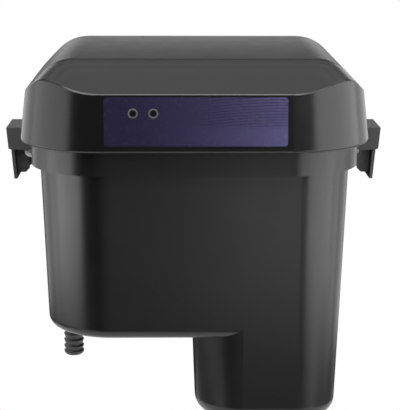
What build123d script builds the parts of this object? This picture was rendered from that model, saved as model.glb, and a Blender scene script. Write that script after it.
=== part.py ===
"""On-line turbidity probe: lift-off optical head on a moulded flow body, hung on a wall plate.

The model is drawn in the rim frame: x = 0 on the middle of the lid, y = 0 at its mid depth with
+Y towards the wall, z = 0 on the lid's lower edge. save() shifts every node to the mount frame,
whose origin is the middle of the wall plate's back face. All sizes are in millimetres.
"""
from build123d import *
import os
from math import cos, radians, sin, tan

os.makedirs("parts", exist_ok=True)

# ---------------------------------------------------------------- driving dimensions
# lid
lid_width = 260.0
lid_depth = 247.0
lid_radius = 61.0             # plan corner radius at the lower edge
lid_wall = 3.2
lid_draft = 6.8               # lean of the skirt, degrees
crease_height = 41.6          # crease between skirt and roof, at the flat front
side_crease_height = 37.2     # the same crease on the two sides
roof_height = 62.0
roof_front_slope = 36.5       # front and back slopes, degrees from level
roof_side_slope = 46.0
hip_round = 36.0
top_round = 34.0
crease_round = 2.0
rim_round = 2.0               # rounding under the skirt

# body
collar_inset = 7.7            # collar face behind the lid's edge
collar_radius = 56.0
collar_height = 18.0
lip_height = 8.0              # how far the collar rises inside the skirt
body_inset = 13.8             # body wall behind the lid's edge, just under the collar
body_radius = 54.0            # corners at the bubble trap's end
right_inset = 15.6            # the well's end stands further in, with tighter corners
right_radius = 38.0
body_wall = 3.5
body_draft = 2.0              # degrees
trap_depth = 144.4            # underside of the shallow bubble-trap side
trap_round = 8.0
well_depth = 212.0            # underside of the deep measuring well
well_left = -6.0              # well's left wall at the collar
well_length = 146.0           # front to back
well_front_radius = 42.0
well_back_radius = 32.0
well_round = 13.0

# head and its seal
gasket_thick = 1.5
base_thick = 3.0
base_clear = 0.4

# wall mounting
wall_gap = 16.0               # back of the lid to the wall
rim_above_mount = 84.0
wall_plate_width = 124.0
wall_plate_height = 90.0
plate_thick = 3.0
wall_hole_r = 3.3
wall_hole_x = 96.0
wall_hole_z = 56.0

# latches
latch_length = 41.4           # along Y
latch_wall = 2.4
latch_top = 1.0               # top of the hood above the lid's edge
latch_hood_height = 17.0
latch_reach = 16.0            # hood's outer face beyond the lid's edge
tail_step = 2.6               # tail plate's outer face inside the hood's
tail_depth = 39.5             # tail tip below the lid's edge
web_depth = 36.0
tail_lean = 4.6               # degrees, towards the body at the tip
pin_out = 5.4                 # pin axis beyond the collar face
pin_drop = 18.0
pin_r = 2.0
pin_clear = 0.05

# label and indicator windows
label_width = 130.0
label_height = 34.6
label_low = 5.2               # lower edge above the lid's edge, along the skirt
label_thick = 0.5
led_pitch = 14.4
led_in = (20.6, 23.2)         # first window in from the label's left end and lower edge
led_ring_r = 3.45
led_hole_r = 2.7
led_lens_r = 1.9

# flow fittings
barb_ridge_r = 7.8
barb_root_r = 6.7
barb_bore_r = 4.5
barb_pitch = 4.9
barb_ridges = 5
barb_end = 4.0                # plain chamfered end
inlet_in = (21.8, 64.7)       # inlet axis in from the body's left wall and from its front
outlet_in = (52.4, 31.7)      # outlet axis in from the body's right wall and from its back
fit = 0.05                    # radial clearance of a static fit
seat = 0.3                    # clearance between neighbours that don't bear

# flow column in the well
column_r = 45.0
column_wall = 3.0
weir_height = 62.0            # weir edge below the lid's edge
column_feet = 6.0
notch_count = 12
notch_half = 3.5
notch_deep = 6.0
foot_r = 4.0
cone_high = 26.0              # black cone under the light path
cone_edge = 2.0

# small fittings
catch_gap = 0.3
catch_thick = 3.0
catch_reach = 3.4
catch_half = 7.6
catch_slope = 0.9             # fall of the ledge, so that the hook swings clear
catch_nose = 0.8
hook_clear = 0.4
rim_gap = 0.8
latch_hood_wall = 2.4
web_back = 9.6                # webs sit behind the hood's front face
web_clear = 0.4
tail_inset = 0.6
ear_clear = 0.3
ear_up = 6.5
ear_down = 8.5
ear_nose = 2.6
spring_wire = 0.6
spring_pitch = 1.6
spring_coils = 2.25
spring_turn = 20.0            # degrees that the whole spring is turned towards the tail
tail_leg = 10.0
collar_leg = 3.6
label_corner = 2.5
label_gap = 0.15
led_ring_proud = 0.6
post_in = (42.0, 31.5)        # screw posts in from the lid's lower edge
post_r = 4.5
post_bore = 10.0
screw_r = 1.7
screw_head_r = 3.6
screw_head = 2.6
board_in = 90.0               # board's middle from the lid's left edge
board_w = 84.0
board_d = 84.0
board_lift = 7.0
board_thick = 1.6
board_post_r = 3.2
board_screw_r = 1.3
board_blocks = [              # left edge, length, front edge, depth, height, from the board's middle
    (-36.0, 26.0, -14.0, 28.0, 17.0),
    (-4.0, 36.0, -38.0, 10.0, 9.0),
    (8.0, 14.0, -7.0, 14.0, 2.4),
]
capacitor_r = 4.0
capacitor_high = 12.0
capacitor_places = (6.0, 18.0)
lamp_can_r = 17.0
lamp_can_high = 34.0
lens_thick = 4.0
lens_curve = 30.0
lens_ring_high = 2.2
light_tube_r = 12.0
tube_reach = 38.0
arm_r = 5.0
arm_out = 26.0
detector_z = -112.0
window_r = 6.0
window_glass = 2.0
window_deep = 5.0
outlet_box_x = 72.0
hood_half = 12.0
hood_low = 6.0
hood_high = 30.0
outlet_wall_clear = 1.5
cable_way_r = 4.2
cable_z = 26.0
grommet_r = 5.0
grommet_bore_r = 3.4
divider_thick = 3.5
transfer_r = 8.0
transfer_z = -118.0
baffle_count = 4
baffle_thick = 2.4
baffle_way = 22.0
cover_thick = 3.0
grip_thick = 4.0              # lifting grip on the trap cover
grip_half = 16.0
grip_high = 10.0
vent_r = 5.0
vent_off = 25.0               # vent hole beside the grip
plug_r = 8.0
plug_half_flats = 13.0
plug_head = 8.0
plug_seal = 2.0
barb_stem_r = 6.2
flange_r = 7.8
flange_high = 1.2
seal_thick = 0.8
nut_half_flats = 9.4
nut_high = 6.0
pad_r = 8.0
pad_x = 42.0
pad_z = 26.0
pad_bore = 9.0
hanger_pad_depth = 6.0
hanger_screw_r = 2.5
hanger_head_r = 4.6
hanger_head = 2.8
hanger_in = 20.0              # hanger narrower than the wall plate
hanger_stand = 10.0           # hanger's foot above the wall plate's lower edge
lip_step = 6.0
lip_rise = 14.0
hook_gap = 0.3
hook_drop = 11.0

# ---------------------------------------------------------------- derived sizes
half_w = lid_width / 2
half_d = lid_depth / 2
collar_x = half_w - collar_inset
collar_y = half_d - collar_inset
body_x = half_w - body_inset
body_y = half_d - body_inset
body_right = half_w - right_inset
well_back = -body_y + well_length
trap_floor = -trap_depth + body_wall
well_floor = -well_depth + body_wall
ledge_z = -collar_height + body_wall
base_low = lip_height + gasket_thick
base_top = base_low + base_thick
column_x = (well_left + body_right) / 2
board_x = board_in - half_w
column_y = -body_y + well_length / 2
inlet_x = inlet_in[0] - body_x
inlet_y = inlet_in[1] - body_y
outlet_x = body_right - outlet_in[0]
outlet_y = body_y - outlet_in[1]
post_x = half_w - post_in[0]
post_y = half_d - post_in[1]
led_left = led_in[0] - label_width / 2
led_up = label_low + led_in[1]
to_mount = Location((0, -(half_d + wall_gap), rim_above_mount))
wall_y = half_d + wall_gap
plate_low = -rim_above_mount - wall_plate_height / 2
plate_top = plate_low + wall_plate_height
grommet_y = half_d + (wall_gap - outlet_wall_clear) / 2
hanger_y = body_y + hanger_pad_depth
pad_places = [(x, -rim_above_mount + z) for x in (-pad_x, pad_x) for z in (-pad_z, pad_z)]

nodes = {}


# ---------------------------------------------------------------- helpers
def block(x, y, z):
    """Box from (low, high) pairs."""
    return Pos((x[0] + x[1]) / 2, (y[0] + y[1]) / 2, (z[0] + z[1]) / 2) * Box(
        x[1] - x[0], y[1] - y[0], z[1] - z[0]
    )


def rod(r, z, x=0.0, y=0.0):
    """Upright cylinder between two heights."""
    return Pos(x, y, (z[0] + z[1]) / 2) * Cylinder(r, z[1] - z[0])


def rod_y(r, y, x, z):
    """Cylinder along Y."""
    return Pos(x, (y[0] + y[1]) / 2, z) * Rot(X=90) * Cylinder(r, y[1] - y[0])


def tube(r_out, r_in, z, x=0.0, y=0.0):
    """Upright tube, open at both ends."""
    return rod(r_out, z, x, y) - rod(r_in, (z[0] - 1, z[1] + 1), x, y)


def slab(half_x, half_y, radius, z):
    """Straight-sided rounded slab between two heights."""
    outline = Pos(0, 0, z[0]) * RectangleRounded(2 * half_x, 2 * half_y, radius)
    return extrude(outline, z[1] - z[0])


def revolved(points, x=0.0, y=0.0):
    """Solid of revolution about a vertical axis from (radius, height) points."""
    return Pos(x, y, 0) * revolve(Plane.XZ * make_face(Polyline(*points, close=True)), Axis.Z)


def save(name, shape):
    nodes[name] = shape.moved(to_mount)


# ---------------------------------------------------------------- lid
def lid_mass(inset):
    """Drafted skirt under a hipped roof; inset gives the inside of the wall."""
    side = inset / cos(radians(lid_draft))
    skirt = extrude(
        RectangleRounded(2 * (half_w - side), 2 * (half_d - side), lid_radius - side),
        roof_height + 10,
        taper=lid_draft,
    )
    draft = tan(radians(lid_draft))
    run_x = half_w - side_crease_height * (draft - 1 / tan(radians(roof_side_slope)))
    run_y = half_d - crease_height * (draft - 1 / tan(radians(roof_front_slope)))
    run_x -= inset / sin(radians(roof_side_slope))
    run_y -= inset / sin(radians(roof_front_slope))
    top = roof_height - inset
    top_x = run_x - top / tan(radians(roof_side_slope))
    top_y = run_y - top / tan(radians(roof_front_slope))
    roof = loft([Rectangle(2 * run_x, 2 * run_y), Pos(0, 0, top) * Rectangle(2 * top_x, 2 * top_y)])
    hips = [e for e in roof.edges() if e.bounding_box().size.Z > top / 2]
    roof = fillet(hips, hip_round - inset)
    roof = fillet(roof.faces().sort_by(Axis.Z)[-1].edges(), top_round - inset)
    return skirt & roof


def skirt_plane(across, up):
    """Plane on the skirt's front face, x to the right, y up the face, z out of it."""
    lean = radians(lid_draft)
    origin = (across, -half_d + up * sin(lean), up * cos(lean))
    return Plane(origin=origin, x_dir=(1, 0, 0), z_dir=(0, -cos(lean), sin(lean)))


post_places = [(x, y) for x in (-post_x, post_x) for y in (-post_y, 0, post_y)]
led_places = [(led_left, led_up), (led_left + led_pitch, led_up)]


def make_lid_shell():
    lid = lid_mass(0)
    skirt = [f for f in lid.faces() if f.bounding_box().min.Z < 1 < f.bounding_box().max.Z]
    crease = [e for f in skirt for e in f.edges() if e.bounding_box().min.Z > 1]
    lid = fillet(crease, crease_round)
    lid = fillet(lid.faces().sort_by(Axis.Z)[0].outer_wire().edges(), rim_round)
    lid -= lid_mass(lid_wall)
    posts = Part() + [rod(post_r, (base_top, roof_height), x, y) for x, y in post_places]
    lid += posts & lid_mass(lid_wall / 2)
    for x, y in post_places:
        lid -= rod(screw_r + fit, (base_top - 1, base_top + post_bore), x, y)
    for side in (-1, 1):
        lid += make_catch(side)
    pocket = skirt_plane(0, label_low + label_height / 2) * RectangleRounded(
        label_width + 2 * label_gap, label_height + 2 * label_gap, label_corner + label_gap
    )
    lid -= extrude(pocket, label_thick, dir=-skirt_plane(0, 0).z_dir)
    for across, up in led_places:
        lid -= skirt_plane(across, up) * Cylinder(led_hole_r, 4 * lid_wall)
    through = Rot(X=90) * Cylinder(cable_way_r, 6 * lid_wall)
    return lid - Pos(outlet_box_x, half_d - lid_wall, cable_z) * through


def make_catch(side):
    """Ledge under the skirt that the latch hood hooks over."""
    inner = half_w - lid_wall + seat
    outer = half_w + catch_reach
    tab = front_profile([(inner, catch_low), (outer - catch_nose, catch_low), (outer, catch_low + catch_nose),
                         (outer, catch_top - catch_slope), (half_w, catch_top), (inner, catch_top)],
                        -catch_half, catch_half)
    catch = tab + block((inner, half_w - seat), (-catch_half, catch_half), (catch_low, rim_round))
    return catch if side > 0 else mirror(catch, Plane.YZ)


def on_skirt(across, up, r, low, high):
    """Cylinder square to the front skirt, from low to high above its face."""
    return skirt_plane(across, up) * Pos(0, 0, (low + high) / 2) * Cylinder(r, high - low)


def make_label():
    plane = skirt_plane(0, label_low + label_height / 2)
    plate = extrude(plane * RectangleRounded(label_width, label_height, label_corner), label_thick,
                    dir=-plane.z_dir)
    for across, up in led_places:
        plate -= on_skirt(across, up, led_hole_r + seat, -2, 2)
    return plate


def make_led_bezels():
    rings = []
    for across, up in led_places:
        ring = on_skirt(across, up, led_ring_r, 0, led_ring_proud)
        ring += on_skirt(across, up, led_hole_r - fit, -lid_wall - 1, led_ring_proud)
        ring -= on_skirt(across, up, led_lens_r + fit, -3 * lid_wall, lid_wall)
        rings.append(ring)
    return rings


def make_led_lenses():
    lenses = []
    for across, up in led_places:
        lens = on_skirt(across, up, led_lens_r, -lid_wall - 1, led_ring_proud - 0.25)
        lens += on_skirt(across, up, led_lens_r + 0.8, -lid_wall - 3.5, -lid_wall - 1)
        lenses.append(lens)
    return lenses


# ---------------------------------------------------------------- head base and seal
def base_half(z):
    """Half width and half depth of the room inside the skirt at height z, less a clearance."""
    lean = z * tan(radians(lid_draft)) + lid_wall / cos(radians(lid_draft)) + base_clear
    return half_w - lean, half_d - lean, lid_radius - lean


def make_lid_base():
    hx, hy, r = base_half(base_top)
    base = slab(hx, hy, r, (base_low, base_top))
    for x, y in post_places:
        base -= rod(screw_r + 0.2, (base_low - 1, base_top + 1), x, y)
    base -= rod(light_tube_r + fit, (base_low - 1, base_top + 1), column_x, column_y)
    base -= rod(arm_r + fit, (base_low - 1, base_top + 1), column_x + arm_out, column_y)
    for x, y in board_posts:
        base += rod(board_post_r, (base_top - 0.5, base_top + board_lift), x, y)
        base -= rod(board_screw_r + fit, (base_top + 1, base_top + board_lift + 1), x, y)
    return base


def make_gasket():
    outer = slab(collar_x - 0.3, collar_y - 0.3, collar_radius - 0.3, (lip_height, base_low))
    inner = slab(collar_x - body_wall + 0.3, collar_y - body_wall + 0.3, collar_radius - body_wall + 0.3,
                 (lip_height - 1, base_low + 1))
    return outer - inner


def make_base_screws():
    return [
        rod(screw_head_r, (base_low - screw_head, base_low), x, y)
        + rod(screw_r, (base_low - 0.5, base_top + post_bore - 1), x, y)
        for x, y in post_places
    ]


board_posts = [(board_x + i * board_w * 0.42, j * board_d * 0.42) for i in (-1, 1) for j in (-1, 1)]
board_low = base_top + board_lift


def make_board():
    board = block((board_x - board_w / 2, board_x + board_w / 2), (-board_d / 2, board_d / 2),
                  (board_low, board_low + board_thick))
    for x, y in board_posts:
        board -= rod(board_screw_r + 0.2, (board_low - 1, board_low + board_thick + 1), x, y)
    return board


def make_board_screws():
    top = board_low + board_thick
    return [
        rod(2 * board_screw_r, (top, top + 1.6), x, y) + rod(board_screw_r, (base_top + 2, top + 0.5), x, y)
        for x, y in board_posts
    ]


def make_board_parts():
    """Transformer, terminal row, processor and two capacitors standing on the board."""
    top = board_low + board_thick
    parts = [block((board_x + x, board_x + x + long), (y, y + deep), (top, top + high))
             for x, long, y, deep, high in board_blocks]
    for y in capacitor_places:
        parts.append(rod(capacitor_r, (top, top + capacitor_high), board_x + board_w * 0.4, y))
    return parts


def make_lamp_housing():
    outer = rod(lamp_can_r, (base_top, base_top + lamp_can_high), column_x, column_y)
    room = rod(lamp_can_r - 2, (base_top + 2, base_top + lamp_can_high - 2), column_x, column_y)
    way = rod(light_tube_r + fit, (base_top - 1, base_top + 3), column_x, column_y)
    can = outer - room - way
    for i in range(6):
        fin = Pos(column_x, column_y, 0) * Rot(Z=60 * i) * block(
            (lamp_can_r - 0.5, lamp_can_r + 3), (-0.9, 0.9), (base_top, base_top + lamp_can_high - 6))
        can += fin
    return can


def make_lamp():
    z = base_top + 12
    bulb = rod(3.2, (z, z + 7), column_x, column_y) + Pos(column_x, column_y, z) * Sphere(3.2)
    foot = rod(6.0, (z + 7, base_top + lamp_can_high - 2), column_x, column_y)
    return bulb + foot


def make_light_tube():
    top = base_top + 4
    body = tube(light_tube_r, light_tube_r - 2, (-tube_reach, top), column_x, column_y)
    flange = tube(light_tube_r + 4, light_tube_r - 2, (base_low - 2.5, base_low), column_x, column_y)
    stop_low = -tube_reach + lens_ring_high + lens_thick
    stop_span = (stop_low, stop_low + 1.5)
    stop = tube(light_tube_r - 1, light_tube_r - 4, stop_span, column_x, column_y)
    return body + flange + stop


def make_lens():
    r = light_tube_r - 2 - fit
    z = -tube_reach + lens_ring_high
    dome = Pos(column_x, column_y, z + lens_thick - lens_curve) * Sphere(lens_curve)
    return rod(r, (z, z + lens_thick), column_x, column_y) & dome


def make_lens_ring():
    r = light_tube_r - 2 - fit
    return tube(r, r - 2, (-tube_reach, -tube_reach + lens_ring_high), column_x, column_y)


def make_detector_arm():
    x = column_x + arm_out
    arm = rod(arm_r, (detector_z + 7, base_top + 2), x, column_y)
    flange = rod(arm_r + 3, (base_low - 3, base_low), x, column_y)
    return arm + flange


def make_detector_head():
    x = column_x + arm_out
    head = block((x - 9, x + 7), (column_y - 9, column_y + 9), (detector_z - 9, detector_z + 9))
    head = fillet(head.edges().filter_by(Axis.Y), 3)
    head -= rod(arm_r + fit, (detector_z + 7, detector_z + 20), x, column_y)
    return head - Pos(x - 9, column_y, detector_z) * Rot(Y=90) * Cylinder(window_r + fit, 2 * window_deep)


def make_detector_window():
    x = column_x + arm_out - 9
    return Pos(x + window_glass / 2, column_y, detector_z) * Rot(Y=90) * Cylinder(window_r, window_glass)


def make_detector_cell():
    x = column_x + arm_out - 9
    mid = (window_glass + window_deep) / 2
    return Pos(x + mid, column_y, detector_z) * Rot(Y=90) * Cylinder(window_r - 2, window_deep - window_glass)


def make_cable_outlet():
    """Hooded outlet on the back of the skirt; the cable leaves downwards behind the body."""
    x = outlet_box_x
    back = half_d + wall_gap - outlet_wall_clear
    hood = block((x - hood_half, x + hood_half), (half_d - 12, back), (hood_low, hood_low + hood_high))
    hood = fillet(hood.edges().filter_by(Axis.Y).group_by(Axis.Z)[-1], 5)
    hood -= lid_mass(-seat / 10)
    hood -= rod(grommet_r + fit, (hood_low - 1, hood_low + 7), x, grommet_y)
    hood -= rod(cable_way_r, (hood_low, cable_z), x, grommet_y)
    way = Pos(x, (grommet_y + half_d - 12) / 2, cable_z) * Rot(X=90) * Cylinder(
        cable_way_r, grommet_y - half_d + 12)
    return hood - way


def make_grommet():
    shape = tube(grommet_r, grommet_bore_r, (hood_low - 4, hood_low + 7), outlet_box_x, grommet_y)
    return shape + tube(grommet_r + 1.0, grommet_bore_r, (hood_low - 4, hood_low), outlet_box_x, grommet_y)


# ---------------------------------------------------------------- body
def drafted_down(outline, depth):
    """Extrude downwards from the collar's bottom, narrowing with the mould draft.

    The outline is drawn upside down, with its front at +Y, and is turned over at the end.
    """
    upturned = extrude(Pos(0, 0, collar_height) * outline, depth - collar_height, taper=body_draft)
    return Rot(X=180) * upturned


def rounded_corners(x, y, radii):
    """Rectangle with its own radius at each corner, from (low, low) anticlockwise."""
    sketch = Pos((x[0] + x[1]) / 2, (y[0] + y[1]) / 2) * Rectangle(x[1] - x[0], y[1] - y[0])
    places = [(x[0], y[0]), (x[1], y[0]), (x[1], y[1]), (x[0], y[1])]
    for place, radius in zip(places, radii):
        corner = sketch.vertices().sort_by_distance((place[0], place[1], 0))[0]
        sketch = fillet(corner, radius)
    return sketch


def trap_outline(inset):
    radii = [body_radius, right_radius, body_radius, body_radius]
    return rounded_corners((inset - body_x, body_right - inset), (inset - body_y, body_y - inset),
                           [r - inset for r in radii])


def well_outline(inset):
    radii = [well_back_radius, well_back_radius, right_radius, well_front_radius]
    return rounded_corners((well_left + inset, body_right - inset), (inset - well_back, body_y - inset),
                           [r - inset for r in radii])


def body_mass(inset, floor):
    """Shallow bubble-trap side joined to the deep measuring well."""
    trap = drafted_down(trap_outline(inset), trap_depth - floor)
    trap = fillet(trap.faces().sort_by(Axis.Z)[0].edges(), trap_round - inset)
    well = drafted_down(well_outline(inset), well_depth - floor)
    well = fillet(well.faces().sort_by(Axis.Z)[0].edges(), well_round - inset)
    return trap + well


def room_inside(inset):
    """The body's inside, up to the ledge that carries the trap cover."""
    neck = extrude(Pos(0, 0, -ledge_z) * trap_outline(inset), collar_height + ledge_z)
    return body_mass(inset, inset) + Rot(X=180) * neck


def make_body_shell():
    shell = body_mass(0, 0) + slab(collar_x, collar_y, collar_radius, (-collar_height, lip_height))
    room = room_inside(body_wall)
    room += slab(collar_x - body_wall, collar_y - body_wall, collar_radius - body_wall,
                 (ledge_z, lip_height + 1))
    shell -= room
    shell += divider()
    for x, y in ((inlet_x, inlet_y), (outlet_x, outlet_y)):
        shell -= rod(barb_stem_r + fit, (-trap_depth - 1, trap_floor + 1), x, y)
    shell -= rod(plug_r + fit, (-well_depth - 1, well_floor + 1), column_x, column_y)
    shell -= rod_x(transfer_r + fit, (divider_x - 1, divider_x + divider_thick + 1), column_y, transfer_z)
    for x, z in pad_places:
        shell += rod_y(pad_r, (body_y - 12, hanger_y), x, z) - room_inside(body_wall / 2)
    for x, z in pad_places:
        shell -= rod_y(hanger_screw_r + fit, (hanger_y - pad_bore, hanger_y + 1), x, z)
    return shell


def rod_x(r, x, y, z):
    """Cylinder along X."""
    return Pos((x[0] + x[1]) / 2, y, z) * Rot(Y=90) * Cylinder(r, x[1] - x[0])


divider_x = well_left + (trap_depth - collar_height) * tan(radians(body_draft))


def divider():
    wall = block((divider_x, divider_x + divider_thick), (-body_y, body_y), (-trap_depth + 1, ledge_z))
    return wall & room_inside(body_wall / 2)


# ---------------------------------------------------------------- bubble trap
def make_baffles():
    """Comb of plates: the water goes under one and over the next."""
    first = inlet_x + nut_half_flats / cos(radians(30)) + 4
    step = (divider_x - first) / baffle_count
    comb = Part()
    for i in range(baffle_count):
        x = first + step * i
        if i % 2:
            z = (trap_floor, ledge_z - baffle_way)
        else:
            z = (trap_floor + baffle_way, ledge_z - seat)
        comb += block((x - baffle_thick / 2, x + baffle_thick / 2), (-body_y, body_y), z)
    for side in (-1, 1):
        edge = side * (body_y - body_wall - 14)
        comb += block((first - 3, divider_x - step / 2), (edge - 3, edge + 3),
                      (ledge_z - baffle_way - 10, ledge_z - baffle_way - 2))
    return comb & room_inside(body_wall + seat)


def make_trap_cover():
    cover = slab(collar_x - body_wall - seat, collar_y - body_wall - seat, collar_radius - body_wall - seat,
                 (ledge_z, ledge_z + cover_thick))
    cover &= block((-half_w, divider_x + divider_thick), (-half_d, half_d), (ledge_z - 1, ledge_z + 20))
    x = -body_x / 2
    top = ledge_z + cover_thick
    across = (x - grip_thick / 2, x + grip_thick / 2)
    cover += block(across, (-grip_half, grip_half), (top - 0.5, top + grip_high))
    return cover - rod(vent_r, (ledge_z - 1, top + 1), x - vent_off, 0)


# ---------------------------------------------------------------- measuring well
def make_column():
    top = -weir_height
    foot = well_floor + column_feet
    column = tube(column_r, column_r - column_wall, (foot, top), column_x, column_y)
    column += rod(column_r, (foot, foot + column_wall), column_x, column_y)
    for i in range(3):
        column += Pos(column_x, column_y, 0) * Rot(Z=90 + 120 * i) * rod(
            foot_r, (well_floor, foot + 1), column_r - 1.5 * foot_r, 0)
    for i in range(notch_count // 2):
        notch = Polyline((-notch_half, 1), (notch_half, 1), (0, -notch_deep), close=True)
        cut = extrude(Plane.XZ * make_face(notch), 2 * column_r, both=True)
        column -= Pos(column_x, column_y, top) * Rot(Z=(i + 0.5) * 360 / notch_count) * cut
    way_in = (column_x - column_r - 2, column_x - column_r / 2)
    return column - rod_x(transfer_r + fit, way_in, column_y, transfer_z)


def make_transfer_pipe():
    ends = (divider_x - 1.5, column_x - column_r + column_wall + 2)
    pipe = rod_x(transfer_r, ends, column_y, transfer_z)
    return pipe - rod_x(transfer_r - 1.5, (ends[0] - 1, ends[1] + 1), column_y, transfer_z)


def make_light_trap():
    z = well_floor + column_feet + column_wall
    base_r = column_r - column_wall - seat
    return revolved([(0, z), (base_r, z), (base_r, z + cone_edge), (0, z + cone_high)], column_x, column_y)


def make_drain_plug():
    z = -well_depth - plug_seal
    hexagon = RegularPolygon(plug_half_flats, 6, major_radius=False)
    head = Pos(column_x, column_y, z - plug_head) * extrude(hexagon, plug_head)
    return head + rod(plug_r, (z - 1, well_floor + 2), column_x, column_y)


def make_plug_seal():
    return tube(plug_half_flats - 1, plug_r + 0.3, (-well_depth - plug_seal, -well_depth), column_x, column_y)


# ---------------------------------------------------------------- hose fittings
def barb_profile(ridge, root, bore):
    top = -trap_depth - seal_thick
    points = [(bore, trap_floor + nut_high + 1.5), (barb_stem_r, trap_floor + nut_high + 1.5),
              (barb_stem_r, top), (flange_r, top), (flange_r, top - flange_high), (root, top - flange_high)]
    z = top - flange_high
    for _ in range(barb_ridges):
        points += [(root, z - barb_pitch * 0.12), (ridge, z - barb_pitch * 0.35), (root, z - barb_pitch)]
        z -= barb_pitch
    end = z - barb_end
    points += [(ridge, z - 1), (ridge - 0.3, end + 1.5), (ridge - 1.8, end), (bore, end)]
    return points


def make_barb(x, y):
    return revolved(barb_profile(barb_ridge_r, barb_root_r, barb_bore_r), x, y)


def make_barb_nut(x, y):
    hexagon = RegularPolygon(nut_half_flats, 6, major_radius=False, rotation=30)
    nut = Pos(x, y, trap_floor) * extrude(hexagon, nut_high)
    return nut - rod(barb_stem_r + fit, (trap_floor - 1, trap_floor + nut_high + 1), x, y)


def make_barb_seal(x, y):
    return tube(flange_r - 0.1, barb_stem_r + 0.3, (-trap_depth - seal_thick, -trap_depth), x, y)


# ---------------------------------------------------------------- wall mounting
def make_wall_plate():
    """Flat plate with a forward-stepped lip along its top; the hanger hooks over the lip."""
    back = wall_y
    front = back - plate_thick
    lip_y = front - lip_step
    top = plate_top
    z = [plate_low, top, top + lip_rise]
    profile = [(back, z[0]), (back, z[1]), (lip_y + plate_thick, z[1]), (lip_y + plate_thick, z[2]),
               (lip_y, z[2]), (lip_y, z[1] - plate_thick), (front, z[1] - plate_thick), (front, z[0])]
    plate = side_profile(profile, wall_plate_width)
    for x in (-wall_hole_x / 2, wall_hole_x / 2):
        for dz in (-wall_hole_z / 2, wall_hole_z / 2):
            plate -= rod_y(wall_hole_r, (front - 1, back + 1), x, dz - rim_above_mount)
    return plate


def side_profile(points, width):
    """Extrude a (y, z) outline along X, centred."""
    face = Plane.YZ * make_face(Polyline(*points, close=True))
    return extrude(face, width / 2, both=True)


def make_hanger():
    """Bracket on the body: hooks over the wall plate's lip and stands off at its foot."""
    front = hanger_y
    rear = hanger_y + plate_thick
    wall_face = wall_y - plate_thick
    lip_front = wall_face - lip_step
    rest = plate_top + lip_rise
    hook_front = lip_front + plate_thick + hook_gap
    hook_back = wall_face - hook_gap
    foot = plate_low + hanger_stand
    profile = [(front, foot), (wall_face, foot), (wall_face, foot + plate_thick), (rear, foot + plate_thick),
               (rear, rest), (hook_front, rest), (hook_front, rest - hook_drop),
               (hook_back, rest - hook_drop), (hook_back, rest + plate_thick), (front, rest + plate_thick)]
    hanger = side_profile(profile, wall_plate_width - hanger_in)
    for x, z in pad_places:
        hanger -= rod_y(hanger_screw_r + 0.2, (front - 1, rear + 1), x, z)
    return hanger


def make_hanger_screws():
    rear = hanger_y + plate_thick
    return [
        rod_y(hanger_head_r, (rear, rear + hanger_head), x, z)
        + rod_y(hanger_screw_r, (hanger_y - pad_bore + 1, rear + 0.5), x, z)
        for x, z in pad_places
    ]


# ---------------------------------------------------------------- latches (drawn on the right side)
pin_x = collar_x + pin_out
pin_z = -pin_drop
latch_out = half_w + latch_reach
web_mid = latch_length / 2 - web_back - latch_wall / 2
catch_top = latch_top - latch_hood_wall - catch_gap
catch_low = catch_top - catch_thick


def lean_in(z):
    """How far the latch's outer face has moved towards the body at height z."""
    return (latch_top - z) * tan(radians(tail_lean))


def outer_strip(x_at, thick, z_high, z_low, half_len):
    points = [(x_at - lean_in(z_high), z_high), (x_at - lean_in(z_low), z_low),
              (x_at - lean_in(z_low) - thick, z_low), (x_at - lean_in(z_high) - thick, z_high)]
    return front_profile(points, -half_len, half_len)


def front_profile(points, y_low, y_high):
    """Extrude an (x, z) outline along Y."""
    face = make_face(Polyline(*[(x, 0, z) for x, z in points], close=True))
    return Pos(0, y_high, 0) * extrude(face, y_high - y_low, dir=(0, -1, 0))


def make_latch():
    half = latch_length / 2
    low = latch_top - latch_hood_height
    hook = half_w + hook_clear
    inner = pin_x - 0.6
    hood = front_profile([(hook, latch_top), (latch_out, latch_top), (latch_out - lean_in(low), low + 0.6),
                          (latch_out - lean_in(low) - 1.2, low), (inner, low - 1.2), (inner, -rim_gap),
                          (hook, -rim_gap)], -half, half)
    ceiling = latch_top - latch_hood_wall
    room = front_profile([(inner - 5, ceiling), (latch_out - latch_wall, ceiling),
                          (latch_out - lean_in(low - 3) - latch_wall, low - 3), (inner - 5, low - 3)],
                         -half + latch_wall, half - latch_wall)
    hood -= room + block((inner - 5, hook), (-half + latch_wall, half - latch_wall), (low - 3, 0))
    tail = outer_strip(latch_out - tail_step + 0.6, latch_wall, latch_top - 2, -tail_depth, half - tail_inset)
    shape = hood + tail
    web_in = half_w - web_clear
    web_out = latch_out - tail_step - latch_wall / 2
    for side in (-1, 1):
        y = side * web_mid
        span = (y - latch_wall / 2, y + latch_wall / 2)
        past = hook + catch_reach + 1
        upper = front_profile([(hook, latch_top - 1), (web_out + 1, latch_top - 1), (web_out - 1, low),
                               (pin_x, low - 2), (pin_x, catch_low - seat), (past, catch_low - seat),
                               (past, latch_top - 1)], *span)
        lower = front_profile([(web_in, -pin_drop), (web_out - lean_in(-pin_drop), -pin_drop),
                               (web_out - lean_in(-web_depth), -web_depth), (web_in + 3, -web_depth),
                               (web_in, -web_depth + 3)], *span)
        shape += upper + lower + rod_y(pin_r + 2.2, span, pin_x, pin_z)
    return shape - rod_y(pin_r + pin_clear, (-half, half), pin_x, pin_z)


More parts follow.
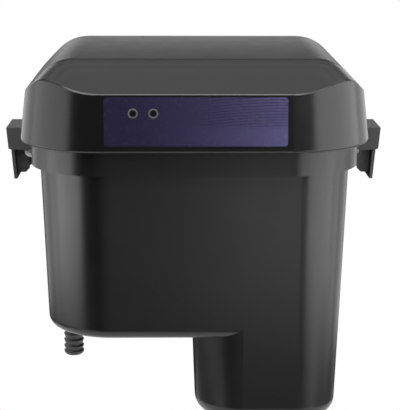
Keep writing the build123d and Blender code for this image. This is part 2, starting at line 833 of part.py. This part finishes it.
def make_pivot_blocks():
    """Two rounded ears that stand on the collar either side of the latch webs."""
    ears = []
    for side in (-1, 1):
        near = web_mid + latch_wall / 2 + ear_clear
        far = latch_length / 2 - latch_wall - ear_clear
        span = (near, far) if side > 0 else (-far, -near)
        nose = pin_r + ear_nose
        ear = front_profile([(collar_x, pin_z - ear_down), (collar_x, pin_z + ear_up), (pin_x, pin_z + nose),
                             (pin_x, pin_z - nose)], *span)
        ear += rod_y(nose, span, pin_x, pin_z)
        ears.append(ear - rod_y(pin_r + pin_clear, (-far - 1, far + 1), pin_x, pin_z))
    return ears


def make_latch_pin():
    half = latch_length / 2 - latch_wall - ear_clear
    return rod_y(pin_r, (-half, half), pin_x, pin_z)


def make_latch_spring():
    """Torsion spring round the pin: one leg bears on the collar, the other reaches for the tail."""
    reach = spring_coils * spring_pitch
    coil_r = pin_r + spring_wire + 2 * seat
    path = Rot(X=90) * Helix(spring_pitch, reach, coil_r)
    spring = sweep(Plane(path @ 0, z_dir=path % 0) * Circle(spring_wire), path)
    for place, way, length in ((path @ 0, -(path % 0), tail_leg), (path @ 1, path % 1, collar_leg)):
        spring += extrude(Plane(place, z_dir=way) * Circle(spring_wire), length)
    return Pos(pin_x, reach / 2, pin_z) * Rot(Y=-spring_turn) * spring


def both_sides(name, shape):
    """Save a right-hand shape and its mirror image."""
    shapes = shape if isinstance(shape, list) else [shape]
    save(name + "_right", Compound(shapes) if len(shapes) > 1 else shapes[0])
    mirrored = [mirror(s, Plane.YZ) for s in shapes]
    save(name + "_left", Compound(mirrored) if len(mirrored) > 1 else mirrored[0])


# ---------------------------------------------------------------- build and write
def group(shapes):
    return Compound(children=list(shapes)) if len(shapes) > 1 else shapes[0]


save("lid_shell", make_lid_shell())
save("label_plate", make_label())
save("led_bezels", group(make_led_bezels()))
save("led_lenses", group(make_led_lenses()))
save("lid_base", make_lid_base())
save("lid_gasket", make_gasket())
save("base_screws", group(make_base_screws()))
save("circuit_board", make_board())
save("board_screws", group(make_board_screws()))
save("board_components", group(make_board_parts()))
save("lamp_housing", make_lamp_housing())
save("lamp", make_lamp())
save("light_tube", make_light_tube())
save("collimator_lens", make_lens())
save("lens_ring", make_lens_ring())
save("detector_arm", make_detector_arm())
save("detector_head", make_detector_head())
save("detector_window", make_detector_window())
save("detector_cell", make_detector_cell())
save("cable_outlet", make_cable_outlet())
save("cable_grommet", make_grommet())
save("body_shell", make_body_shell())
save("trap_baffles", make_baffles())
save("trap_cover", make_trap_cover())
save("flow_column", make_column())
save("transfer_pipe", make_transfer_pipe())
save("light_trap", make_light_trap())
save("drain_plug", make_drain_plug())
save("plug_seal", make_plug_seal())
for place, x, y in (("inlet", inlet_x, inlet_y), ("outlet", outlet_x, outlet_y)):
    save(place + "_barb", make_barb(x, y))
    save(place + "_nut", make_barb_nut(x, y))
    save(place + "_seal", make_barb_seal(x, y))
save("wall_plate", make_wall_plate())
save("hanger", make_hanger())
save("hanger_screws", group(make_hanger_screws()))
both_sides("latch", make_latch())
both_sides("pivot_blocks", make_pivot_blocks())
both_sides("latch_pin", make_latch_pin())
both_sides("latch_spring", make_latch_spring())

for name, shape in nodes.items():
    export_step(shape, "parts/" + name + ".step")
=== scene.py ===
"""Looks of the on-line turbidity sensor: materials, printed label, studio and camera."""

from math import cos, pi, radians, sin, tan

import bpy
from mathutils import Matrix, Vector


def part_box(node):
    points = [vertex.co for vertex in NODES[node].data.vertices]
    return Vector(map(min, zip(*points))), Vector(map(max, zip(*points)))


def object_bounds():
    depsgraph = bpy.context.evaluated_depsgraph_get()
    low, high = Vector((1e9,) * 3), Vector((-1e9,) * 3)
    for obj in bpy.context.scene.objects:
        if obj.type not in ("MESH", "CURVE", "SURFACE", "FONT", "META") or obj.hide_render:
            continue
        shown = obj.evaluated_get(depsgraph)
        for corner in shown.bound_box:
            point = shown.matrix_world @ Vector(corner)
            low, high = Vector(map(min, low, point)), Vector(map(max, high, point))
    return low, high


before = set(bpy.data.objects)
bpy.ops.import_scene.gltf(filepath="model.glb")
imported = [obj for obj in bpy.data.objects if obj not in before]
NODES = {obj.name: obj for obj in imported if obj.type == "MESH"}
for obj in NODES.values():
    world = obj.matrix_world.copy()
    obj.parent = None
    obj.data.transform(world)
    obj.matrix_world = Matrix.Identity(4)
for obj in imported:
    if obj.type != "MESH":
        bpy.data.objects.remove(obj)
cad_low, cad_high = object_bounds()


# --- material building blocks

class Graph:
    """A small helper round one node material."""

    def __init__(self, name):
        self.material = bpy.data.materials.new(name)
        self.material.use_nodes = True
        self.tree = self.material.node_tree
        self.tree.nodes.clear()
        self.output = self.add("ShaderNodeOutputMaterial")
        self.shader = self.add("ShaderNodeBsdfPrincipled")
        self.join(self.shader.outputs[0], self.output.inputs["Surface"])
        self.place = self.add("ShaderNodeTexCoord").outputs["Object"]

    def add(self, kind, **settings):
        node = self.tree.nodes.new(kind)
        for key, value in settings.items():
            setattr(node, key, value)
        return node

    def join(self, source, target):
        self.tree.links.new(source, target)

    def feed(self, socket, value):
        if isinstance(value, bpy.types.NodeSocket):
            self.join(value, socket)
        else:
            socket.default_value = value

    def math(self, operation, first, second=0.0, clamp=False):
        node = self.add("ShaderNodeMath", operation=operation, use_clamp=clamp)
        self.feed(node.inputs[0], first)
        self.feed(node.inputs[1], second)
        return node.outputs[0]

    def noise(self, scale, detail=3.0, rough=0.5, place=None):
        node = self.add("ShaderNodeTexNoise")
        self.join(place or self.place, node.inputs["Vector"])
        node.inputs["Scale"].default_value = scale
        node.inputs["Detail"].default_value = detail
        node.inputs["Roughness"].default_value = rough
        return node.outputs["Fac"]

    def stretch(self, x, y, z):
        node = self.add("ShaderNodeMapping")
        self.join(self.place, node.inputs["Vector"])
        node.inputs["Scale"].default_value = (x, y, z)
        return node.outputs["Vector"]

    def span(self, value, low, high, start=0.0, end=1.0):
        node = self.add("ShaderNodeMapRange")
        node.inputs["From Min"].default_value = low
        node.inputs["From Max"].default_value = high
        node.inputs["To Min"].default_value = start
        node.inputs["To Max"].default_value = end
        self.join(value, node.inputs["Value"])
        return node.outputs["Result"]

    def blend(self, amount, first, second):
        node = self.add("ShaderNodeMix", data_type="RGBA")
        self.feed(node.inputs["Factor"], amount)
        for socket, colour in ((node.inputs["A"], first), (node.inputs["B"], second)):
            self.feed(socket, (*colour, 1.0) if isinstance(colour, tuple) else colour)
        return node.outputs["Result"]

    def axis(self, name):
        node = self.add("ShaderNodeSeparateXYZ")
        self.join(self.place, node.inputs[0])
        return node.outputs[name]

    def bump(self, height, depth, strength=1.0):
        node = self.add("ShaderNodeBump")
        node.inputs["Strength"].default_value = strength
        node.inputs["Distance"].default_value = depth
        self.join(height, node.inputs["Height"])
        self.join(node.outputs[0], self.shader.inputs["Normal"])

    def set(self, **values):
        names = {"colour": "Base Color", "rough": "Roughness", "metal": "Metallic",
                 "clear": "Transmission Weight", "ior": "IOR", "coat": "Coat Weight",
                 "specular": "Specular IOR Level"}
        for key, value in values.items():
            self.feed(self.shader.inputs[names[key]], value)


def moulded(name, dark, light, rough, spread=0.012, grain=900.0, depth=0.000006):
    """Injection moulded plastic: flow mottling, a fine spark-eroded grain and uneven polish."""
    g = Graph(name)
    mottle = g.noise(22.0, 4.0)
    colour = g.blend(g.span(mottle, 0.3, 0.7), dark, light)
    polish = g.span(g.noise(70.0, 3.0), 0.3, 0.7, rough - spread, rough + spread)
    g.set(colour=colour, rough=polish)
    g.bump(g.noise(grain, 2.0), depth)
    return g.material


def rubber(name, dark, light):
    """Soft seal: matt, slightly dusty, with a fine pitted skin."""
    g = Graph(name)
    dust = g.noise(60.0, 5.0)
    g.set(colour=g.blend(g.span(dust, 0.4, 0.8), dark, light), rough=g.span(dust, 0.2, 0.8, 0.62, 0.85))
    g.bump(g.noise(1600.0, 2.0), 0.00003)
    return g.material


def metal(name, dark, light, rough, along=(1.0, 1.0, 12.0)):
    """Turned or rolled metal with fine drawn lines."""
    g = Graph(name)
    lines = g.noise(700.0, 3.0, place=g.stretch(*along))
    stain = g.noise(45.0, 4.0)
    g.set(colour=g.blend(stain, dark, light), metal=1.0,
          rough=g.span(lines, 0.3, 0.7, rough - 0.06, rough + 0.08))
    g.bump(lines, 0.000008)
    return g.material


def glass(name, tint, rough=0.03):
    """Optical glass or clear resin with a faint unevenness."""
    g = Graph(name)
    smear = g.noise(120.0, 3.0)
    g.set(colour=g.blend(smear, tint, tuple(min(1.0, c * 1.04) for c in tint)),
          rough=g.span(smear, 0.3, 0.8, rough, rough + 0.05), clear=1.0, ior=1.5)
    return g.material


def led_bezel(name, box):
    """Two pale rings, blackened inside their rims."""
    inside, rim = 0.74, 0.82  # share of the ring's radius where the black ends and the pale rim starts
    low, high = box
    g = Graph(name)
    x, z = g.axis("X"), g.axis("Z")
    ring = (high.z - low.z) / 2.0
    middle = (low.x + high.x) / 2.0
    apart = (high.x - low.x) / 2.0 - ring
    off = g.math("SUBTRACT", g.math("ABSOLUTE", g.math("SUBTRACT", x, middle)), apart)
    rise = g.math("SUBTRACT", z, (low.z + high.z) / 2.0)
    out = g.math("SQRT", g.math("ADD", g.math("MULTIPLY", off, off), g.math("MULTIPLY", rise, rise)))
    pale = g.span(out, ring * inside, ring * rim)
    lines = g.noise(500.0, 3.0)
    g.set(colour=g.blend(pale, (0.006, 0.006, 0.006), (0.085, 0.085, 0.088)),
          rough=g.span(lines, 0.3, 0.7, 0.3, 0.4))
    g.bump(lines, 0.000005)
    return g.material


def printed_label(low, high):
    """Indigo overlay film, lighter to the right, with a fan of fine pinstripes."""
    g = Graph("label_film")
    x, z = g.axis("X"), g.axis("Z")
    across = g.span(x, low.x, high.x)
    up = g.span(z, low.z, high.z)
    fade = g.math("POWER", across, 2.2)
    base = g.blend(fade, (0.0085, 0.0065, 0.022), (0.052, 0.046, 0.109))

    stripes, stripe_share, drop, ink = 17.0, 0.4, 0.5, 0.62
    left = g.math("SUBTRACT", 1.0, across)
    fan = g.math("ADD", up, g.math("MULTIPLY", g.math("MULTIPLY", left, left), drop))
    line = g.math("LESS_THAN", g.math("FRACT", g.math("MULTIPLY", fan, stripes)), stripe_share)
    shown = g.math("MULTIPLY", g.span(across, 0.3, 0.6), g.span(up, 0.36, 0.42))
    inked = g.math("MULTIPLY", g.math("MULTIPLY", line, shown), ink)
    colour = g.blend(inked, base, (0.006, 0.005, 0.014))
    g.set(colour=colour, rough=g.span(g.noise(260.0, 3.0), 0.3, 0.7, 0.26, 0.28), specular=0.35)
    g.bump(g.noise(1400.0, 2.0), 0.0000004)
    return g.material


def circuit_board():
    """Green solder mask with copper runs under it."""
    g = Graph("solder_mask")
    cells = g.add("ShaderNodeTexBrick")
    g.join(g.place, cells.inputs["Vector"])
    cells.inputs["Scale"].default_value = 260.0
    cells.inputs["Mortar Size"].default_value = 0.05
    runs = g.math("GREATER_THAN", g.noise(90.0, 1.0), 0.5)
    shown = g.math("MULTIPLY", cells.outputs["Fac"], runs)
    g.set(colour=g.blend(shown, (0.006, 0.075, 0.03), (0.03, 0.16, 0.06)), rough=0.32, coat=0.4)
    g.bump(shown, 0.00003)
    return g.material


def paint(material, *names):
    for name in names:
        slots = NODES[name].data.materials
        if not slots:
            slots.append(material)
        for index in range(len(slots)):
            slots[index] = material


CHARCOAL = moulded("charcoal_shell", (0.0020, 0.0020, 0.0018), (0.0030, 0.0030, 0.0028), 0.23)
CHARCOAL_BODY = moulded("charcoal_vessel", (0.0022, 0.0022, 0.0020), (0.0032, 0.0032, 0.0030), 0.25)
# The latches are the same charcoal plastic as the shell; this lighter grey is painted light that stands in
# for the light they catch.
LATCH_LIT_GREY = moulded("latch_painted_light_grey", (0.036, 0.036, 0.035), (0.046, 0.046, 0.045), 0.36, grain=1200.0)
BLACK = moulded("black_acetal", (0.008, 0.008, 0.008), (0.014, 0.014, 0.014), 0.45, grain=1500.0)
DARK_LENS = moulded("smoked_lens", (0.004, 0.004, 0.004), (0.007, 0.007, 0.007), 0.12, grain=600.0)
FITTING = moulded("fitting_nylon", (0.016, 0.016, 0.015), (0.026, 0.026, 0.025), 0.42, grain=1100.0)
WHITE_PART = moulded("white_socket", (0.5, 0.49, 0.45), (0.62, 0.61, 0.57), 0.5)
# Pale grey painted highlight: it stands in for the light caught by the left pivot blocks, which are the same
# dark plastic as the right ones.
PAINTED_HIGHLIGHT_PALE = moulded("pale_painted_highlight", (0.4, 0.39, 0.37), (0.5, 0.49, 0.47), 0.4, grain=1500.0)
STEEL = metal("stainless", (0.42, 0.42, 0.43), (0.58, 0.58, 0.6), 0.3)
SHEET_STEEL = metal("sheet_stainless", (0.4, 0.4, 0.41), (0.52, 0.52, 0.54), 0.36, (10.0, 1.0, 1.0))
BEZEL = led_bezel("bezel_satin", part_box("led_bezels"))
SEAL = rubber("black_seal", (0.006, 0.006, 0.006), (0.018, 0.018, 0.017))
LENS = glass("optic_glass", (0.93, 0.96, 0.96))

paint(CHARCOAL, "lid_shell", "lid_base", "cable_outlet")
paint(CHARCOAL_BODY, "body_shell")
# Lighter grey painted light on the latches and the right pivot blocks.
paint(LATCH_LIT_GREY, "latch_left", "latch_right", "pivot_blocks_right")
# The left pivot blocks get the pale painted highlight; the right ones keep the latch material.
paint(PAINTED_HIGHLIGHT_PALE, "pivot_blocks_left")
paint(BLACK, "trap_baffles", "trap_cover", "flow_column", "transfer_pipe", "light_trap", "drain_plug",
      "lamp_housing", "light_tube", "detector_arm", "detector_head")
paint(DARK_LENS, "led_lenses")
paint(FITTING, "inlet_barb", "inlet_nut", "outlet_barb", "outlet_nut")
paint(STEEL, "base_screws", "board_screws", "hanger_screws", "latch_pin_left", "latch_pin_right",
      "latch_spring_left", "latch_spring_right", "lens_ring")
paint(SHEET_STEEL, "wall_plate", "hanger")
paint(BEZEL, "led_bezels")
paint(SEAL, "lid_gasket", "cable_grommet", "inlet_seal", "outlet_seal", "plug_seal")
paint(LENS, "collimator_lens", "detector_window", "lamp")
paint(WHITE_PART, "board_components", "detector_cell")
paint(circuit_board(), "circuit_board")
paint(printed_label(*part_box("label_plate")), "label_plate")


# --- studio

def stage_material(name, shade):
    """Pale matt surface that reads as plain white where the camera sees it."""
    g = Graph(name)
    tone = g.blend(g.noise(6.0, 2.0), shade, tuple(min(1.0, c * 1.02) for c in shade))
    g.set(colour=tone, rough=0.9)
    glow = g.add("ShaderNodeEmission")
    glow.inputs["Color"].default_value = (1.0, 1.0, 1.0, 1.0)
    rays = g.add("ShaderNodeLightPath")
    mix = g.add("ShaderNodeMixShader")
    g.join(rays.outputs["Is Camera Ray"], mix.inputs[0])
    g.join(g.shader.outputs[0], mix.inputs[1])
    g.join(glow.outputs[0], mix.inputs[2])
    g.join(mix.outputs[0], g.output.inputs["Surface"])
    return g.material


def sheet(name, corners, material):
    mesh = bpy.data.meshes.new(name)
    mesh.from_pydata(corners, [], [(0, 1, 2, 3)])
    piece = bpy.data.objects.new(name, mesh)
    bpy.context.scene.collection.objects.link(piece)
    mesh.materials.append(material)


FLOOR_Z = cad_low[2] - 0.65
FLOOR_HALF = 1.2
CORNERS = ((-1, -1), (1, -1), (1, 1), (-1, 1))
sheet("floor", [(x * FLOOR_HALF, y * FLOOR_HALF, FLOOR_Z) for x, y in CORNERS],
      stage_material("pale_floor", (0.8, 0.8, 0.79)))

HEART = Vector((0.0, -0.18, 0.03))  # the point that every panel faces


def softbox(name, azimuth, elevation, wide, high, radiance, reach=1.6):
    """Rectangular studio panel facing the object; angles in degrees, azimuth 0 in front, 90 to the right."""
    turn, climb = radians(azimuth), radians(elevation)
    away = Vector((sin(turn) * cos(climb), -cos(turn) * cos(climb), sin(climb)))
    light = bpy.data.lights.new(name, "AREA")
    light.shape = "RECTANGLE"
    light.size = 2.0 * reach * tan(radians(wide) / 2.0)
    light.size_y = 2.0 * reach * tan(radians(high) / 2.0)
    light.energy = radiance * pi * light.size * light.size_y
    lamp = bpy.data.objects.new(name, light)
    bpy.context.scene.collection.objects.link(lamp)
    lamp.location = HEART + reach * away
    lamp.rotation_euler = (-away).to_track_quat("-Z", "Y").to_euler()
    lamp.visible_camera = False


PANELS = (
    # name, azimuth, elevation, width, height, radiance, and the distance where it is nearer
    ("left_low_front", -73, -14.5, 44, 12, 3.7),
    ("left_low_side", -105, -14.5, 20, 12, 1.9),
    ("left_low_rear", -132, -14.5, 34, 12, 0.8),
    ("left_front", -80, 8, 68, 33, 1.9),
    ("left_rear", -137, 8, 44, 33, 1.1),
    ("right_low_front", 51.5, -16, 57, 14, 3.6),
    ("right_low_side", 92, -16, 24, 14, 2.3),
    ("right_low_rear", 127, -16, 46, 14, 1.1),
    ("right_front", 75.5, 8, 79, 33, 2.9),
    ("right_rear", 137, 8, 44, 33, 1.2),
    ("front_right_low", 8.5, -16.5, 10, 14, 1.7),
    ("front_low", -7, -17.5, 20, 14, 0.35),
    ("left_top", -72, 44, 66, 34, 0.9),
    ("right_top", 77, 44, 62, 34, 1.3),
    ("front_right", 20.5, 16, 21, 18, 0.9),
    ("front_top_left", -14, 45, 48, 38, 5.0),
    ("front_top_right", 28, 45, 34, 38, 2.2),
    ("ceiling", 180, 88, 75, 34, 1.3),
    ("rear_top", 180, 60, 75, 22, 0.84),
    ("rear_upper", 180, 38, 70, 22, 0.37),
    ("rear_wall", 180, 12, 40, 30, 0.05),
    ("rear_strip", 180, 21.2, 84, 6.5, 0.68, 0.35),
)
for panel in PANELS:
    softbox(*panel)

ROOM_LIGHT = 0.03
world = bpy.data.worlds.new("studio")
bpy.context.scene.world = world
world.use_nodes = True
links = world.node_tree.links
world.node_tree.nodes.clear()
room = world.node_tree.nodes.new("ShaderNodeBackground")
room.inputs["Color"].default_value = (1.0, 1.0, 1.0, 1.0)
room.inputs["Strength"].default_value = ROOM_LIGHT
white = world.node_tree.nodes.new("ShaderNodeBackground")
white.inputs["Color"].default_value = (1.0, 1.0, 1.0, 1.0)
rays = world.node_tree.nodes.new("ShaderNodeLightPath")
mix = world.node_tree.nodes.new("ShaderNodeMixShader")
out = world.node_tree.nodes.new("ShaderNodeOutputWorld")
links.new(rays.outputs["Is Camera Ray"], mix.inputs[0])
links.new(room.outputs[0], mix.inputs[1])
links.new(white.outputs[0], mix.inputs[2])
links.new(mix.outputs[0], out.inputs["Surface"])

bpy.context.scene.view_settings.view_transform = "Standard"


# --- camera at the photograph's viewing angle

CAMERA_AT = (-0.01527, -1.1948, 0.26304)
PITCH = radians(13.05)
YAW = radians(1.12)
ROLL = radians(0.18)
LENS_MM = 118.1
SENSOR_MM = 36.0

ahead = Vector((sin(YAW) * cos(PITCH), cos(YAW) * cos(PITCH), -sin(PITCH)))
right = Vector((cos(YAW), -sin(YAW), 0.0))
upward = right.cross(ahead)
turned_right = cos(ROLL) * right + sin(ROLL) * upward
turned_up = cos(ROLL) * upward - sin(ROLL) * right
axes = Matrix((turned_right, turned_up, -ahead)).transposed()
lens = bpy.data.cameras.new("camera")
lens.lens = LENS_MM
lens.sensor_width = SENSOR_MM
camera = bpy.data.objects.new("camera", lens)
camera.matrix_world = Matrix.Translation(CAMERA_AT) @ axes.to_4x4()
bpy.context.scene.collection.objects.link(camera)
bpy.context.scene.camera = camera
